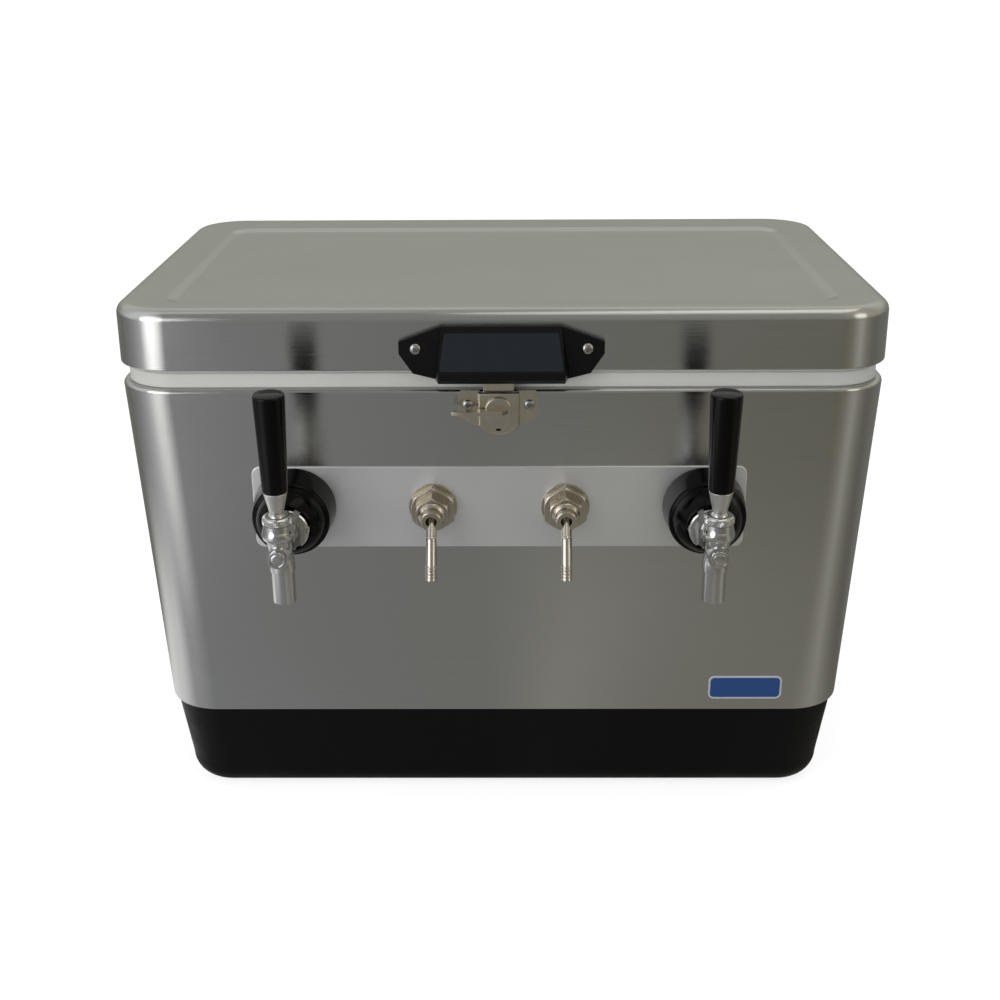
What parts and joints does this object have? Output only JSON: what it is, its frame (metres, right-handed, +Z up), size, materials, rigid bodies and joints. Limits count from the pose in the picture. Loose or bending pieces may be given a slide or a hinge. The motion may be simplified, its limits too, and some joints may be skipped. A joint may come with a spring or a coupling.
{
  "type": "jockey box beer cooler",
  "caption": "Insulated steel-belted ice chest fitted as a jockey box, with lever faucets and keg line inlets on the front and stainless cooling coils in the ice.",
  "frame": {"origin": "middle of the underside, on the surface the chest stands on", "axes": "+X along the chest to the viewer's right, +Y from the faucets to the hinges, +Z up"},
  "size_m": [0.6382, 0.5107, 0.436],
  "materials": {
    "black_pan": "moulded, fine pebble",
    "satin_stainless": "satin",
    "plate_stainless": "satin",
    "blue_badge": "gloss",
    "white_liner": "satin moulded",
    "foam": "foamed in place",
    "black_grip": "moulded satin",
    "dark_panel": "gloss",
    "zinc_screws": "zinc plated",
    "warm_nickel": "satin nickel plate",
    "zinc_steel": "zinc plated",
    "bright_rod": "bright zinc",
    "black_handle": "gloss",
    "chrome": "polished",
    "satin_ferrule": "satin turned",
    "plunger_steel": "turned",
    "black_rubber": "matte",
    "nickel_brass": "nickel plated brass",
    "yellow_brass": "machined",
    "coil_stainless": "drawn tube",
    "white_strap": "moulded"
  },
  "bodies": {
    "cooler": {"base_pan": "black_pan", "steel_belt": "satin_stainless", "inner_liner": "white_liner", "body_foam": "foam", "front_plate": "plate_stainless", "front_badge": "blue_badge", "latch_housing": "warm_nickel", "latch_screws": "zinc_screws", "hinge_leaves_chest": "zinc_steel", "hinge_pins": "bright_rod", "hinge_screws_chest": "zinc_screws", "bail_brackets": "zinc_steel", "bail_screws": "zinc_screws", "drain_spout": "black_grip", "drain_nut": "black_grip", "shank_bells": "black_handle", "shanks": "chrome", "coupling_nuts": "chrome", "shank_locknuts": "yellow_brass", "faucet_bodies": "chrome", "barrel_plugs": "chrome", "lever_nuts": "chrome", "inlet_washers": "nickel_brass", "inlet_nuts": "nickel_brass", "inlet_fittings": "nickel_brass", "inlet_elbows": "nickel_brass", "inlet_locknuts": "yellow_brass", "cooling_coils": "coil_stainless", "coil_straps": "white_strap", "outlet_tubes": "coil_stainless", "inlet_tubes": "coil_stainless", "tail_nuts": "yellow_brass"},
    "lid": {"lid_shell": "satin_stainless", "lid_liner": "white_liner", "lid_foam": "foam", "lid_grip": "black_grip", "grip_panel": "dark_panel", "grip_screws": "zinc_screws", "latch_keeper": "zinc_steel", "hinge_leaves_lid": "zinc_steel", "hinge_screws_lid": "zinc_screws"},
    "latch_turn": {"latch_knob": "warm_nickel", "latch_bolt": "zinc_steel"},
    "right_lever": {"right_lever_stem": "chrome", "right_ferrule": "satin_ferrule", "right_tap_handle": "black_handle"},
    "left_lever": {"left_lever_stem": "chrome", "left_ferrule": "satin_ferrule", "left_tap_handle": "black_handle"},
    "right_valve": {"right_plunger": "plunger_steel", "right_plunger_seal": "black_rubber"},
    "left_valve": {"left_plunger": "plunger_steel", "left_plunger_seal": "black_rubber"},
    "right_handle": {"right_bail": "bright_rod", "right_bail_grip": "black_grip"},
    "left_handle": {"left_bail": "bright_rod", "left_bail_grip": "black_grip"},
    "drain_seal": {"drain_washer": "black_rubber"},
    "drain_lid": {"drain_cap": "black_grip"}
  },
  "joints": [
    {"name": "lid_hinge", "type": "hinge", "parent": "cooler", "child": "lid", "pos_m": [0, 0.206, 0.382], "axis": [-1, 0, 0], "range_deg": [0, 100]},
    {"name": "latch_turn_joint", "type": "hinge", "parent": "cooler", "child": "latch_turn", "pos_m": [-0.0026, -0.19883, 0.3586], "axis": [0, -0.9989, -0.0467], "range_deg": [0, 90]},
    {"name": "right_tap_lever", "type": "hinge", "parent": "cooler", "child": "right_lever", "pos_m": [0.1612, -0.28433, 0.29885], "axis": [1, 0, 0], "range_deg": [0, 21]},
    {"name": "left_tap_lever", "type": "hinge", "parent": "cooler", "child": "left_lever", "pos_m": [-0.1664, -0.28433, 0.29885], "axis": [1, 0, 0], "range_deg": [0, 21]},
    {"name": "right_plunger_slide", "type": "slide", "parent": "cooler", "child": "right_valve", "axis": [0, 0.9989, 0.0467], "range_m": [0, 0.009]},
    {"name": "left_plunger_slide", "type": "slide", "parent": "cooler", "child": "left_valve", "axis": [0, 0.9989, 0.0467], "range_m": [0, 0.009]},
    {"name": "right_bail_pivot", "type": "hinge", "parent": "cooler", "child": "right_handle", "pos_m": [0.31008, 0, 0.29958], "axis": [0, -1, 0], "range_deg": [0, 100]},
    {"name": "left_bail_pivot", "type": "hinge", "parent": "cooler", "child": "left_handle", "pos_m": [-0.31008, 0, 0.29958], "axis": [0, 1, 0], "range_deg": [0, 100]},
    {"name": "drain_thread", "type": "slide", "parent": "cooler", "child": "drain_seal", "axis": [1, 0, 0], "range_m": [0, 0.0076]},
    {"name": "drain_cap_turn", "type": "hinge", "parent": "drain_seal", "child": "drain_lid", "pos_m": [0.3, 0, 0.06], "axis": [1, 0, 0], "range_deg": [0, 900]}
  ],
  "couplings": [
    {"joint": "right_plunger_slide", "follows": "right_tap_lever", "m_per_rad": 0.024053},
    {"joint": "left_plunger_slide", "follows": "left_tap_lever", "m_per_rad": 0.024053},
    {"joint": "drain_thread", "follows": "drain_cap_turn", "m_per_rad": 0.00047746}
  ]
}
